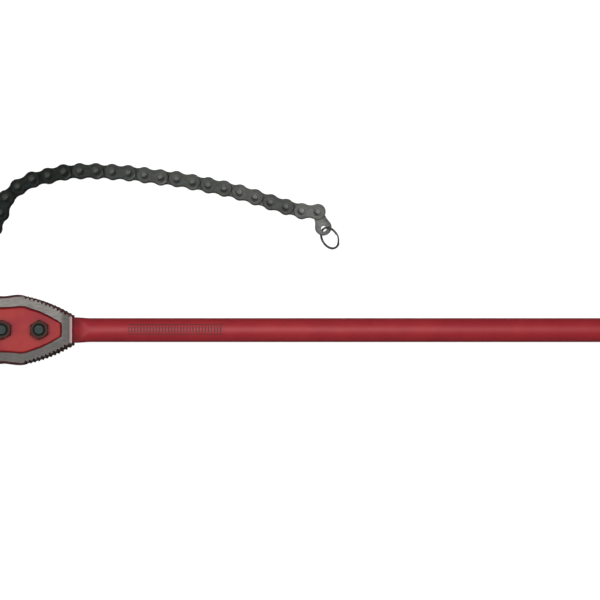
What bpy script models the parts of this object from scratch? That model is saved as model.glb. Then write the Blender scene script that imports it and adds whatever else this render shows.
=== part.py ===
"""Reversible chain pipe wrench, in metres, +Z up.

The origin is the flat face of the centre bolt's head, on which the tool rests. X runs along the
handle towards its end, and the jaws and the chain lie in planes of constant Z.
"""

import math

import bmesh
import bpy
from mathutils import Matrix, Vector

MM = 0.001

# Jaws
JAW_THICKNESS = 10.0
JAW_GAP = 19.6
WAIST_HALF_HEIGHT = 33.0
SHOULDER_HALF_HEIGHT = 34.45
SHOULDER_X = 15.4
TEETH_START = (21.3, 33.45)
TEETH_END = (68.1, 14.8)
TEETH_ARC_RADIUS = 140.0
TEETH_PER_EDGE = 12
TOOTH_DEPTH = 2.0
RECESS_DEPTH = 3.0
RECESS_DRAFT = (0.974, 0.93)
RECESS_CORNERS = (
    (0.0, 21.9),
    (8.0, 22.1),
    (17.4, 23.1),
    (22.5, 22.7),
    (36.9, 17.8),
    (47.1, 12.9),
    (58.1, 6.45),
)

# Bolts, M10
BOLT_SPACING = 36.3
BOLT_RADIUS = 5.0
BOLT_HOLE_RADIUS = 5.3
HEX_ACROSS_FLATS = 17.0
BOLT_HEAD_HEIGHT = 6.4
NUT_HEIGHT = 8.0
BOLT_END_PROUD = 2.5
GAP = 0.3

# Levels along Z
REAR_RIM = BOLT_HEAD_HEIGHT + GAP - RECESS_DEPTH
REAR_INNER = REAR_RIM + JAW_THICKNESS
MID = REAR_INNER + JAW_GAP / 2
FRONT_INNER = REAR_INNER + JAW_GAP
FRONT_RIM = FRONT_INNER + JAW_THICKNESS
NUT_SEAT = FRONT_RIM - RECESS_DEPTH + GAP
BOLT_END = NUT_SEAT + NUT_HEIGHT + BOLT_END_PROUD

# Handle
HANDLE_RADIUS = 11.75
HANDLE_END = 622.0
HANDLE_CHAMFER = 2.0
TANG_HALF_HEIGHT = 12.4
TANG_HALF_THICKNESS = JAW_GAP / 2 - GAP
TANG_CORNER = 1.5
TANG_BLEND = (70.0, 86.0)

# Chain, 5/8 inch pitch
PITCH = 15.875
PLATE_RADIUS = 7.6
PLATE_WAIST = 5.8
INNER_PLATE = (4.2, 6.6)
OUTER_PLATE = (6.9, 9.3)
BUSH_RADIUS = 4.2
BUSH_BORE = 2.9
PIN_RADIUS = 2.55
RIVET_RADIUS = 3.0
PIN_HALF_LENGTH = 11.6
ROUND_STEPS = 12

# Shackle, tab and ring
SHACKLE_LENGTH = 56.5
SHACKLE_EYE = 12.0
SHACKLE_HALF_THICKNESS = 9.4
SHACKLE_HALF_WIDTH = 6.4
SPACER_RADIUS = 7.5
SHACKLE_BORE = 7.9
TAB_HOLE_AT = 17.4
TAB_HOLE_RADIUS = 2.8
TAB_END_AT = 15.9
TAB_END_RADIUS = 8.2
TAB_NECK = 5.5
TAB_HALF_THICKNESS = 1.25
RING_RADIUS = 10.95
RING_WIRE = 0.85
RING_TILT = 48.0

# How the chain lies: the heading of each piece in degrees, from the shackle outwards
SHACKLE_HEADING = 80
LINK_HEADINGS = (
    72, 70, 67, 65, 70, 43, 28, 13, 13, 4, 0, -3, -4,
    -7, -8, -6, -11, -11, -12, -14, -17, -18, -17, -15, -3,
)  # fmt: skip
TAB_HEADING = -70.6
RING_HEADING = -57

# name: (colour, roughness, metallic)
FINISHES = {
    "red_paint": ((0.35, 0.035, 0.04), 0.45, 0.0),
    "ground_steel": ((0.30, 0.28, 0.26), 0.45, 0.9),
    "dark_bolt": ((0.05, 0.045, 0.04), 0.5, 0.8),
    "black_chain": ((0.035, 0.04, 0.038), 0.5, 0.7),
    "grey_steel": ((0.20, 0.20, 0.19), 0.5, 0.7),
    "ring_wire": ((0.12, 0.12, 0.11), 0.35, 0.9),
}


def clear_scene():
    for obj in list(bpy.data.objects):
        bpy.data.objects.remove(obj, do_unlink=True)


def collection(name):
    made = bpy.data.collections.new(name)
    bpy.context.scene.collection.children.link(made)
    return made


def material(name):
    colour, roughness, metallic = FINISHES[name]
    made = bpy.data.materials.new(name)
    made.use_nodes = True
    shader = made.node_tree.nodes["Principled BSDF"]
    shader.inputs["Base Color"].default_value = (*colour, 1.0)
    shader.inputs["Roughness"].default_value = roughness
    shader.inputs["Metallic"].default_value = metallic
    return made


def mesh_of(name, points, faces):
    """A mesh from points in millimetres, with its normals facing out."""
    mesh = bpy.data.meshes.new(name)
    mesh.from_pydata([Vector(p) * MM for p in points], [], faces)
    shape = bmesh.new()
    shape.from_mesh(mesh)
    bmesh.ops.recalc_face_normals(shape, faces=shape.faces)
    shape.to_mesh(mesh)
    shape.free()
    return mesh


def loft(name, sections):
    """A closed body through rings of points that all have the same count."""
    count = len(sections[0])
    points = [p for ring in sections for p in ring]
    faces = [tuple(range(count))[::-1]]
    for ring in range(len(sections) - 1):
        for i in range(count):
            a, b = ring * count + i, ring * count + (i + 1) % count
            faces.append((a, b, b + count, a + count))
    faces.append(tuple(range(len(points) - count, len(points))))
    return mesh_of(name, points, faces)


def prism(name, outline, low, high, high_outline=None):
    """A body between two levels of Z, whose top can have an outline of its own."""
    top = high_outline or outline
    return loft(name, [[(x, y, low) for x, y in outline], [(x, y, high) for x, y in top]])


def circle(radius, count, x=0.0, y=0.0, turn=0.0):
    angles = [math.radians(turn) + math.tau * i / count for i in range(count)]
    return [(x + radius * math.cos(a), y + radius * math.sin(a)) for a in angles]


def stepped_round(name, steps, count, x=0.0):
    """A round body along Z from (radius, level) pairs."""
    return loft(name, [[(px, py, z) for px, py in circle(r, count, x)] for r, z in steps])


def hexagon(across_flats):
    """A hexagon with two corners on the Y axis."""
    return circle(across_flats / math.sqrt(3), 6, turn=30)


def joined(name, base, unions=(), cuts=()):
    """The mesh left after joining some meshes to a base mesh and cutting others from it."""
    host = bpy.data.objects.new(name, base)
    helpers = [host]
    for operation, meshes in (("UNION", unions), ("DIFFERENCE", cuts)):
        for mesh in meshes:
            tool = bpy.data.objects.new(mesh.name, mesh)
            helpers.append(tool)
            step = host.modifiers.new(mesh.name, "BOOLEAN")
            step.operation = operation
            step.solver = "EXACT"
            step.object = tool
    for obj in helpers:
        bpy.context.scene.collection.objects.link(obj)
    graph = bpy.context.evaluated_depsgraph_get()
    result = bpy.data.meshes.new_from_object(host.evaluated_get(graph))
    result.name = name
    for obj in helpers:
        bpy.data.objects.remove(obj, do_unlink=True)
    return result


def place(parts, name, mesh, finish, where=Matrix()):
    obj = bpy.data.objects.new(name, mesh)
    obj.matrix_world = where
    if not mesh.materials:
        mesh.materials.append(finish)
    parts.objects.link(obj)
    return obj


def at(x, y, z, heading=0.0):
    """A place in millimetres, turned about Z by a heading in degrees."""
    turn = Matrix.Rotation(math.radians(heading), 4, "Z")
    return Matrix.Translation(Vector((x, y, z)) * MM) @ turn


def toothed_edge():
    """The tips and valleys of one toothed edge, from the shoulder to the jaw's end."""
    start, end = Vector(TEETH_START), Vector(TEETH_END)
    chord = end - start
    half_angle = math.asin(chord.length / 2 / TEETH_ARC_RADIUS)
    out = Vector((-chord.y, chord.x)).normalized()
    centre = (start + end) / 2 - out * TEETH_ARC_RADIUS * math.cos(half_angle)
    middle = math.atan2(out.y, out.x)
    points = []
    for i in range(2 * TEETH_PER_EDGE + 1):
        angle = middle + half_angle * (1 - i / TEETH_PER_EDGE)
        reach = TEETH_ARC_RADIUS - (TOOTH_DEPTH if i % 2 else 0.0)
        points.append(tuple(centre + reach * Vector((math.cos(angle), math.sin(angle)))))
    return points


def mirrored(quadrant):
    """A closed outline from its first quadrant, which starts on the Y axis."""
    right = quadrant + [(x, -y) for x, y in reversed(quadrant)]
    left = [(-x, y) for x, y in reversed(right) if x > 0]
    return right + left


def jaw_outline():
    quadrant = []
    for x in (0.0, 4.0, 8.0, 12.0, SHOULDER_X):
        rise = (1 - math.cos(math.pi * x / SHOULDER_X)) / 2
        quadrant.append((x, WAIST_HALF_HEIGHT + rise * (SHOULDER_HALF_HEIGHT - WAIST_HALF_HEIGHT)))
    quadrant.append(((SHOULDER_X + TEETH_START[0]) / 2, SHOULDER_HALF_HEIGHT - 0.25))
    return mirrored(quadrant + toothed_edge())


def jaw_mesh():
    """A jaw on its inner face, with the recess in its upper side."""
    plate = prism("jaw", jaw_outline(), 0, JAW_THICKNESS)
    rim = mirrored(list(RECESS_CORNERS))
    floor = [(x * RECESS_DRAFT[0], y * RECESS_DRAFT[1]) for x, y in rim]
    slope = JAW_THICKNESS + 1.0
    spread = 1 + 1.0 / RECESS_DEPTH
    above = [tuple(f + (r - f) * spread for f, r in zip(lo, hi)) for lo, hi in zip(floor, rim)]
    recess = prism("recess", floor, JAW_THICKNESS - RECESS_DEPTH, slope, above)
    holes = [
        stepped_round("hole", ((BOLT_HOLE_RADIUS, -1), (BOLT_HOLE_RADIUS, JAW_THICKNESS)), 16, x)
        for x in (-BOLT_SPACING, 0, BOLT_SPACING)
    ]
    return joined("jaw", plate, cuts=[recess, *holes])


def rounded_section(x, half_height, half_thickness, corner):
    """A rounded rectangle across X, of 24 points, centred on the handle's axis."""
    points = []
    for quarter in range(4):
        side_y = 1 if quarter in (0, 3) else -1
        side_z = 1 if quarter in (0, 1) else -1
        for i in range(6):
            angle = math.radians(90 * quarter + 15 * (i + 0.5))
            y = side_y * (half_height - corner) + corner * math.cos(angle)
            z = side_z * (half_thickness - corner) + corner * math.sin(angle)
            points.append((x, y, z))
    return points


def handle_mesh():
    """The bar and its tang, with the tang's round end behind the centre bolt."""
    sections = []
    for angle in (82, 60, 35, 15, 0):
        back = math.radians(angle)
        x, half_height = -TANG_HALF_HEIGHT * math.sin(back), TANG_HALF_HEIGHT * math.cos(back)
        corner = min(TANG_CORNER, half_height * 0.8)
        sections.append(rounded_section(x, half_height, TANG_HALF_THICKNESS, corner))
    start, end = TANG_BLEND
    for i in range(5):
        blend = (1 - math.cos(math.pi * i / 4)) / 2
        half_height = TANG_HALF_HEIGHT + blend * (HANDLE_RADIUS - TANG_HALF_HEIGHT)
        thickness = TANG_HALF_THICKNESS + blend * (HANDLE_RADIUS - TANG_HALF_THICKNESS)
        corner = TANG_CORNER + blend * (HANDLE_RADIUS - TANG_CORNER)
        x = start + (end - start) * i / 4
        sections.append(rounded_section(x, half_height, thickness, corner))
    for x, radius in (
        (HANDLE_END - HANDLE_CHAMFER, HANDLE_RADIUS),
        (HANDLE_END, HANDLE_RADIUS - HANDLE_CHAMFER),
    ):
        sections.append(rounded_section(x, radius, radius, radius))
    holes = [
        stepped_round("hole", ((BOLT_HOLE_RADIUS, -15), (BOLT_HOLE_RADIUS, 15)), 16, x)
        for x in (0, BOLT_SPACING)
    ]
    return joined("handle", loft("bar", sections), cuts=holes)


def bolt_mesh():
    head = prism("bolt", hexagon(HEX_ACROSS_FLATS), 0, BOLT_HEAD_HEIGHT)
    shank = stepped_round(
        "shank",
        (
            (BOLT_RADIUS, BOLT_HEAD_HEIGHT - 1),
            (BOLT_RADIUS, BOLT_END - 1),
            (BOLT_RADIUS - 0.9, BOLT_END),
        ),
        16,
    )
    return joined("bolt", head, unions=[shank])


def nut_mesh():
    body = prism("nut", hexagon(HEX_ACROSS_FLATS), 0, NUT_HEIGHT)
    bore = BOLT_RADIUS + 0.25
    return joined("nut", body, cuts=[stepped_round("bore", ((bore, -1), (bore, 10)), 16)])


def spacer_mesh():
    half = JAW_GAP / 2 - GAP
    tube = stepped_round("spacer", ((SPACER_RADIUS, -half), (SPACER_RADIUS, half)), 24)
    bore = stepped_round("bore", ((BOLT_HOLE_RADIUS, -20), (BOLT_HOLE_RADIUS, 20)), 16)
    return joined("spacer", tube, cuts=[bore])


def plate_outline():
    """A chain plate seen from its face: two round ends with a waist between them."""
    steps = [math.radians(60 + 30 * i) for i in range(9)]
    left = [(PLATE_RADIUS * math.cos(a), PLATE_RADIUS * math.sin(a)) for a in steps]
    right = [(PITCH - x, -y) for x, y in left]
    return [*left, (PITCH / 2, -PLATE_WAIST), *right, (PITCH / 2, PLATE_WAIST)]


def plate_pair(name, levels):
    low, high = levels
    lower = prism(name, plate_outline(), -high, -low)
    upper = prism(name, plate_outline(), low, high)
    return lower, upper


def round_pair(name, steps):
    """The same round body on both of a link's pin axes."""
    return [stepped_round(name, steps, ROUND_STEPS, x) for x in (0, PITCH)]


def outer_link_mesh():
    """Two outer plates riveted on two pins."""
    lower, upper = plate_pair("outer_plate", OUTER_PLATE)
    neck = sum(OUTER_PLATE) / 2
    steps = (
        (RIVET_RADIUS, -PIN_HALF_LENGTH),
        (RIVET_RADIUS, -neck),
        (PIN_RADIUS, -neck + 0.1),
        (PIN_RADIUS, neck - 0.1),
        (RIVET_RADIUS, neck),
        (RIVET_RADIUS, PIN_HALF_LENGTH),
    )
    return joined("outer_link", lower, unions=[*round_pair("pin", steps), upper])


def inner_link_mesh():
    """Two inner plates pressed on two bushes, bored for the pins."""
    lower, upper = plate_pair("inner_plate", INNER_PLATE)
    reach = INNER_PLATE[0] + 0.5
    bushes = round_pair("bush", ((BUSH_RADIUS, -reach), (BUSH_RADIUS, reach)))
    bores = round_pair("bore", ((BUSH_BORE, -10), (BUSH_BORE, 10)))
    return joined("inner_link", lower, unions=[*bushes, upper], cuts=bores)


def shackle_mesh():
    """A forged link: a thick eye for the spacer tube and a thin one for the chain's first pin."""
    thin = INNER_PLATE[1]
    sections = []
    for x, half_width, half_thickness in (
        (0, SHACKLE_HALF_WIDTH + 1, SHACKLE_HALF_THICKNESS),
        (15, SHACKLE_HALF_WIDTH, SHACKLE_HALF_THICKNESS),
        (27, SHACKLE_HALF_WIDTH - 0.6, thin),
        (SHACKLE_LENGTH, SHACKLE_HALF_WIDTH - 0.6, thin),
    ):
        sections.append(
            [
                (x, -half_width, -half_thickness),
                (x, half_width, -half_thickness),
                (x, half_width, half_thickness),
                (x, -half_width, half_thickness),
            ]
        )
    side = SHACKLE_HALF_THICKNESS
    eye = stepped_round("eye", ((SHACKLE_EYE, -side), (SHACKLE_EYE, side)), 24)
    tip = stepped_round(
        "tip", ((PLATE_RADIUS, -thin), (PLATE_RADIUS, thin)), 16, SHACKLE_LENGTH
    )
    cuts = [
        stepped_round("bore", ((SHACKLE_BORE, -20), (SHACKLE_BORE, 20)), 24),
        stepped_round("bore", ((BUSH_BORE, -20), (BUSH_BORE, 20)), ROUND_STEPS, SHACKLE_LENGTH),
    ]
    return joined("shackle", eye, unions=[loft("bar", sections), tip], cuts=cuts)


def tab_mesh():
    """A flat plate with a hub for the last pin and a hole for the ring."""
    around = [math.radians(105 - 30 * i) for i in range(8)]
    end = [
        (TAB_END_AT + TAB_END_RADIUS * math.cos(a), TAB_END_RADIUS * math.sin(a))
        for a in around
    ]
    outline = [(-3.0, -TAB_NECK + 1), (-3.0, TAB_NECK - 1), (0.0, TAB_NECK), (6.0, TAB_NECK)]
    outline += [*end, (6.0, -TAB_NECK), (0.0, -TAB_NECK)]
    plate = prism("tab", outline[::-1], -TAB_HALF_THICKNESS, TAB_HALF_THICKNESS)
    wide = INNER_PLATE[1]
    hub = stepped_round("hub", ((BUSH_RADIUS + 0.6, -wide), (BUSH_RADIUS + 0.6, wide)), 12)
    cuts = [
        stepped_round("bore", ((BUSH_BORE, -10), (BUSH_BORE, 10)), ROUND_STEPS),
        stepped_round("hole", ((TAB_HOLE_RADIUS, -5), (TAB_HOLE_RADIUS, 5)), 16, TAB_HOLE_AT),
    ]
    return joined("tab", plate, unions=[hub], cuts=cuts)


def ring_mesh():
    """A wire ring that passes through the local origin, with its centre along X."""
    points, faces = [], []
    around, across = 28, 8
    for i in range(around):
        turn = math.tau * i / around
        out = Vector((-math.cos(turn), math.sin(turn), 0))
        for k in range(across):
            angle = math.tau * (k + 0.5) / across
            reach = RING_RADIUS + RING_WIRE * math.cos(angle)
            height = RING_WIRE * math.sin(angle)
            points.append(Vector((RING_RADIUS, 0, 0)) + out * reach + Vector((0, 0, height)))
    for i in range(around):
        for k in range(across):
            a, b = i * across + k, i * across + (k + 1) % across
            c, d = (a + across) % len(points), (b + across) % len(points)
            faces.append((a, b, d, c))
    return mesh_of("ring", points, faces)


def chain_places():
    """The start of each link, then of the tab, then the tab's hole, as (x, y) in millimetres."""
    turn = math.radians(SHACKLE_HEADING)
    x = -BOLT_SPACING + SHACKLE_LENGTH * math.cos(turn)
    y = SHACKLE_LENGTH * math.sin(turn)
    places = [(x, y)]
    for heading in LINK_HEADINGS:
        x += PITCH * math.cos(math.radians(heading))
        y += PITCH * math.sin(math.radians(heading))
        places.append((x, y))
    x += TAB_HOLE_AT * math.cos(math.radians(TAB_HEADING))
    y += TAB_HOLE_AT * math.sin(math.radians(TAB_HEADING))
    return [*places, (x, y)]


def build_head(parts, finish):
    jaw = jaw_mesh()
    place(parts, "jaw_front", jaw, finish["ground_steel"], at(0, 0, FRONT_INNER))
    turned = Matrix.Rotation(math.pi, 4, "X")
    place(parts, "jaw_rear", jaw, finish["ground_steel"], at(0, 0, REAR_INNER) @ turned)
    place(parts, "handle", handle_mesh(), finish["red_paint"], at(0, 0, MID))
    bolt, nut = bolt_mesh(), nut_mesh()
    for name, x in (("chain_side", -BOLT_SPACING), ("centre", 0), ("handle_side", BOLT_SPACING)):
        place(parts, f"bolt_{name}", bolt, finish["dark_bolt"], at(x, 0, 0))
        place(parts, f"nut_{name}", nut, finish["dark_bolt"], at(x, 0, NUT_SEAT))
    place(parts, "spacer_tube", spacer_mesh(), finish["grey_steel"], at(-BOLT_SPACING, 0, MID))


def build_chain(parts, finish):
    start = at(-BOLT_SPACING, 0, MID, SHACKLE_HEADING)
    place(parts, "shackle", shackle_mesh(), finish["black_chain"], start)
    outer, inner = outer_link_mesh(), inner_link_mesh()
    places = chain_places()
    for i, heading in enumerate(LINK_HEADINGS):
        kind, mesh = ("inner", inner) if i % 2 else ("outer", outer)
        where = at(*places[i], MID, heading)
        place(parts, f"link_{i + 1:02d}_{kind}", mesh, finish["black_chain"], where)
    place(parts, "pull_tab", tab_mesh(), finish["grey_steel"], at(*places[-2], MID, TAB_HEADING))
    tilt = Matrix.Rotation(math.radians(RING_TILT), 4, "X")
    where = at(*places[-1], MID, RING_HEADING) @ tilt
    place(parts, "split_ring", ring_mesh(), finish["ring_wire"], where)


def main():
    clear_scene()
    parts = collection("chain_pipe_wrench")
    finish = {name: material(name) for name in FINISHES}
    build_head(parts, finish)
    build_chain(parts, finish)


main()
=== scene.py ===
"""Looks of the reversible chain pipe wrench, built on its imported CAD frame.

Shapes are made in millimetres, in the same local frames as the CAD parts, and placed in the
shared frame in metres. Every mesh carries three attributes for its material to read: "spot" is the
local position in millimetres, "mm" is the same moved on for each copy so that no two copies have
the same pattern, and "zone" holds up to three masks.
"""

import math

import bmesh
import bpy
from mathutils import Matrix, Vector


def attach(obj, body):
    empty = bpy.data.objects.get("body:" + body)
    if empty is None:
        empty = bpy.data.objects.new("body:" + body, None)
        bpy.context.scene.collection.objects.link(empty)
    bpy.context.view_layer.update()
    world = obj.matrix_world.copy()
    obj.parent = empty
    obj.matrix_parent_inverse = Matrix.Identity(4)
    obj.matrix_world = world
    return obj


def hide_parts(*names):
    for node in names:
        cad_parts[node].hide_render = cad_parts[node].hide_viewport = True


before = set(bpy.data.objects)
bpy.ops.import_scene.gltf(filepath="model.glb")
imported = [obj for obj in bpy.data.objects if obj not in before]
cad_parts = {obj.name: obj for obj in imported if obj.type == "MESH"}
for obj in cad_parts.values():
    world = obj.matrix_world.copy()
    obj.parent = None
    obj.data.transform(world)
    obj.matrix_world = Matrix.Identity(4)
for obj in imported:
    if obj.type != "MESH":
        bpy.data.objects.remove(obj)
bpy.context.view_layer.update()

MM = 0.001
COPY_SHIFT = Vector((37.0, 11.0, 23.0))

# Jaws, in millimetres
JAW_THICKNESS = 10.0
JAW_GAP = 19.6
WAIST_HALF_HEIGHT = 33.0
SHOULDER_HALF_HEIGHT = 34.45
SHOULDER_X = 15.4
TEETH_START = Vector((21.3, 33.45))
TEETH_END = Vector((68.1, 14.8))
TEETH_ARC_RADIUS = 140.0
TEETH_PER_EDGE = 12
TEETH_SPREAD = 0.9
TOOTH_DEPTH = 2.0
LAST_TOOTH_DEPTH = 0.8
# share of a tooth's length, share of its depth
TOOTH_PROFILE = (
    (0.0, 0.0), (0.09, 0.0), (0.2, 0.3), (0.42, 0.93),
    (0.5, 1.0), (0.58, 0.93), (0.8, 0.3), (0.91, 0.0),
)
JAW_END_STEPS = (14.2, 12.5, 9.0, 4.5, 0.0)
RECESS_DEPTH = 3.0
RECESS_DRAFT = (0.974, 0.93)
RECESS_CORNERS = (
    (0.0, 21.9), (8.0, 22.1), (17.4, 23.1), (22.5, 22.7),
    (36.9, 17.8), (47.1, 12.9), (58.1, 6.45), (58.1, 0.0),
)
# where the finish changes: the rim, the ground bevel at each end with its painted highlight, the
# teeth's band and the web
RIM_LEVEL = JAW_THICKNESS - 0.03
BEVEL_LEVEL = 8.3
BEVEL_HALF_HEIGHT = 13.9
BEVEL_FROM = 60.0
# the painted highlight on the end bevel starts here and grows over this distance
BEVEL_HIGHLIGHT_FROM = TEETH_END.x - 3.7
BEVEL_HIGHLIGHT_OVER = 3.2
TEETH_SLOPE = (TEETH_END.y - TEETH_START.y) / (TEETH_END.x - TEETH_START.x)
TEETH_BAND = 4.0
WEB_HALF_HEIGHT = 28.0

# Bolts, M10
BOLT_SPACING = 36.3
BOLT_RADIUS = 5.0
HEX_ACROSS_FLATS = 17.0
BOLT_HEAD_HEIGHT = 6.4
NUT_HEIGHT = 8.0
THREAD_PITCH = 1.5
THREAD_DEPTH = 0.8
GAP = 0.3

# Levels along Z
REAR_RIM = BOLT_HEAD_HEIGHT + GAP - RECESS_DEPTH
REAR_INNER = REAR_RIM + JAW_THICKNESS
MID = REAR_INNER + JAW_GAP / 2
FRONT_INNER = REAR_INNER + JAW_GAP
FRONT_RIM = FRONT_INNER + JAW_THICKNESS
NUT_SEAT = FRONT_RIM - RECESS_DEPTH + GAP
NUT_TOP = NUT_SEAT + NUT_HEIGHT
THREAD_START = NUT_TOP - 1.5
BOLT_END = NUT_TOP + 2.5

# Handle
HANDLE_RADIUS = 11.75
HANDLE_END = 622.0
# distance from the end, how far inside the bar's surface
HANDLE_END_PROFILE = ((2.3, 0.0), (2.0, 0.06), (1.7, 0.25), (0.35, 1.6), (0.1, 1.9), (0.0, 2.3))
TANG_HALF_HEIGHT = 12.4
TANG_HALF_THICKNESS = JAW_GAP / 2 - GAP
TANG_CORNER = 1.5
TANG_BLEND = (70.0, 86.0)
TANG_END_ANGLES = (86, 78, 68, 56, 44, 32, 20, 10, 0)
# where the painted shade and the grease on the bar beside the jaws end
SHADE_AND_GREASE_END = TANG_BLEND[1] - 4.0
SHADE_AND_GREASE_FADES_OVER = 10.0
# the printed mark: the band's middle and half length, then its ticks and rules
MARK_X, MARK_Y = 169.0, 0.5
MARK_HALF_LENGTH = 46.2
TICK_SPACING = 1.5
TICK_HALF_HEIGHT = 2.9
RULE_AT = 4.6

# Chain, 5/8 inch pitch
PITCH = 15.875
PLATE_RADIUS = 7.6
PLATE_WAIST = 5.8
INNER_PLATE = (4.2, 6.6)
OUTER_PLATE = (6.9, 9.3)
BUSH_RADIUS = 4.2
BUSH_BORE = 2.9
PIN_RADIUS = 2.55
RIVET_RADIUS = 3.0
PIN_HALF_LENGTH = 11.6
PIN_SIDES = 28
# how far the painted shadow beside each rivet sits off the pin's centre
SHADOW_OFFSET = 1.3

# Shackle, tab and ring
SHACKLE_LENGTH = 56.5
SHACKLE_EYE = 12.0
SHACKLE_HALF_THICKNESS = 9.4
SHACKLE_HALF_WIDTH = 6.1
SHACKLE_FILLET = (5.0, 26.0)
SHACKLE_TAPER = (13.0, 27.0)
SPACER_RADIUS = 7.5
SHACKLE_BORE = 7.9
TAB_HOLE_AT = 17.4
TAB_HOLE_RADIUS = 2.8
TAB_HUB_AT = 0.6
TAB_HUB_RADIUS = 6.4
TAB_END_AT = 15.9
TAB_END_RADIUS = 8.2
TAB_NECK = 5.5
TAB_HALF_THICKNESS = 1.25
TAB_CHAMFER = 0.4
RING_RADIUS = 10.95
RING_WIRE = 0.85
RING_HALF_WIDTH = 0.95
RING_TILT = 48.0
# degrees between a coil's end and the split, and half of where the wire crosses between coils
RING_CUT = 24.0
RING_JOG = 18.0

# How the chain lies: the heading of each piece in degrees, from the shackle outwards
SHACKLE_HEADING = 80
LINK_HEADINGS = (
    72, 70, 67, 65, 70, 43, 28, 13, 13, 4, 0, -3, -4,
    -7, -8, -6, -11, -11, -12, -14, -17, -18, -17, -15, -3,
)
TAB_HEADING = -70.6
RING_HEADING = -57
# how far each link's blacking has rubbed off, from 0 to 6
LINK_TONES = (0, 0, 0, 0, 0, 0, 0, 0, 0, 0, 1, 1, 2, 2, 3, 2, 3, 3, 3, 4, 4, 4, 3, 4, 6)


# Shapes


def clamp(value):
    return min(1.0, max(0.0, value))


def smooth(value):
    """A value clamped to 0 to 1 and eased at both ends."""
    value = clamp(value)
    return value * value * (3 - 2 * value)


def ray(angle):
    """The direction in the plane at an angle in radians."""
    return Vector((math.cos(angle), math.sin(angle)))


def loft(rings, around=False):
    """Points and faces of a skin through rings of points that all have the same count.

    A face closes each end, or the last ring is joined to the first if around is set.
    """
    count = len(rings[0])
    points = [Vector(p) for ring in rings for p in ring]
    faces = []
    for ring in range(len(rings) if around else len(rings) - 1):
        start, after = ring * count, (ring + 1) % len(rings) * count
        for i in range(count):
            j = (i + 1) % count
            faces.append((start + i, start + j, after + j, after + i))
    if not around:
        faces += [tuple(range(count))[::-1], tuple(range(len(points) - count, len(points)))]
    return points, faces


def together(*shapes):
    """Some shapes as one."""
    points, faces = [], []
    for more_points, more_faces in shapes:
        faces += [tuple(i + len(points) for i in face) for face in more_faces]
        points += more_points
    return points, faces


def circle(radius, count, x=0.0, turn=0.0):
    """Points of a circle round a spot on the X axis, or corners of a regular polygon."""
    angles = [math.radians(turn) + math.tau * i / count for i in range(count)]
    return [(x + radius * math.cos(a), radius * math.sin(a)) for a in angles]


def lathe(steps, count, x=0.0, turn=0.0, around=False):
    """A round body along Z from (radius, level) pairs, or a tube if around is set."""
    rings = [[(px, py, z) for px, py in circle(r, count, x, turn)] for r, z in steps]
    return loft(rings, around)


def mesh_of(shape):
    """A mesh in metres from points in millimetres and faces."""
    points, faces = shape
    mesh = bpy.data.meshes.new("shape")
    mesh.from_pydata([p * MM for p in points], [], faces)
    work = bmesh.new()
    work.from_mesh(mesh)
    bmesh.ops.recalc_face_normals(work, faces=work.faces)
    work.to_mesh(mesh)
    work.free()
    return mesh


def add(name, data):
    """A new object in the scene."""
    obj = bpy.data.objects.new(name, data)
    bpy.context.scene.collection.objects.link(obj)
    return obj


def combined(base, *steps):
    """The mesh left after some Boolean steps, each an operation and a mesh."""
    host = add("host", base)
    helpers = [host]
    for operation, mesh in steps:
        tool = add("tool", mesh)
        helpers.append(tool)
        step = host.modifiers.new("step", "BOOLEAN")
        step.operation = operation
        step.solver = "EXACT"
        step.object = tool
    graph = bpy.context.evaluated_depsgraph_get()
    result = bpy.data.meshes.new_from_object(host.evaluated_get(graph))
    for obj in helpers:
        bpy.data.objects.remove(obj, do_unlink=True)
    return result


def joined(*meshes):
    """Some meshes as one."""
    work = bmesh.new()
    for mesh in meshes:
        work.from_mesh(mesh)
    result = bpy.data.meshes.new("joined")
    work.to_mesh(result)
    work.free()
    return result


def soften(mesh, sharp, width=0.0):
    """Rounds the edges sharper than so many degrees by a width, and shades the rest smooth."""
    limit = math.radians(sharp)
    work = bmesh.new()
    work.from_mesh(mesh)
    bmesh.ops.remove_doubles(work, verts=work.verts, dist=1e-6)

    def is_sharp(edge):
        return len(edge.link_faces) == 2 and edge.calc_face_angle(0.0) > limit

    if width:
        edges = [e for e in work.edges if is_sharp(e)]
        bmesh.ops.bevel(work, geom=edges, offset=width * MM, segments=2, profile=0.5,
                        affect="EDGES", clamp_overlap=True)
    for face in work.faces:
        face.smooth = True
    for edge in work.edges:
        edge.smooth = not is_sharp(edge)
    work.to_mesh(mesh)
    work.free()
    return mesh


def at(x, y, z, heading=0.0):
    """A place in millimetres, turned about Z by a heading in degrees."""
    turn = Matrix.Rotation(math.radians(heading), 4, "Z")
    return Matrix.Translation(Vector((x, y, z)) * MM) @ turn


def piece(body, node, mesh, finish, where, zone=None, copy=0):
    """Puts a mesh in place as a piece that rides on a body and stands for a CAD node."""
    name = node.removesuffix("_outer").removesuffix("_inner") + "_visual"
    mesh = mesh.copy()
    mesh.name = name
    spots = [v.co / MM for v in mesh.vertices]
    for attribute, values in (
        ("mm", [p + COPY_SHIFT * copy for p in spots]),
        ("spot", spots),
        ("zone", [zone(p) if zone else (0, 0, 0) for p in spots]),
    ):
        made = mesh.attributes.new(attribute, "FLOAT_VECTOR", "POINT")
        made.data.foreach_set("vector", [c for value in values for c in value])
    mesh.materials.clear()
    mesh.materials.append(finish)
    mesh.transform(where)
    obj = add(name, mesh)
    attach(obj, body)
    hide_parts(node)


# Jaws


def edge_point(point, normal, waist=0.0, teeth=0.0, end=0.0, depth=0.0):
    """One point of the jaw's outline: how much each kind of edge counts there, and its inset."""
    sides = [(Vector(normal).normalized(), waist, teeth, end)]
    return {"at": Vector(point), "sides": sides, "depth": depth}


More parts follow.
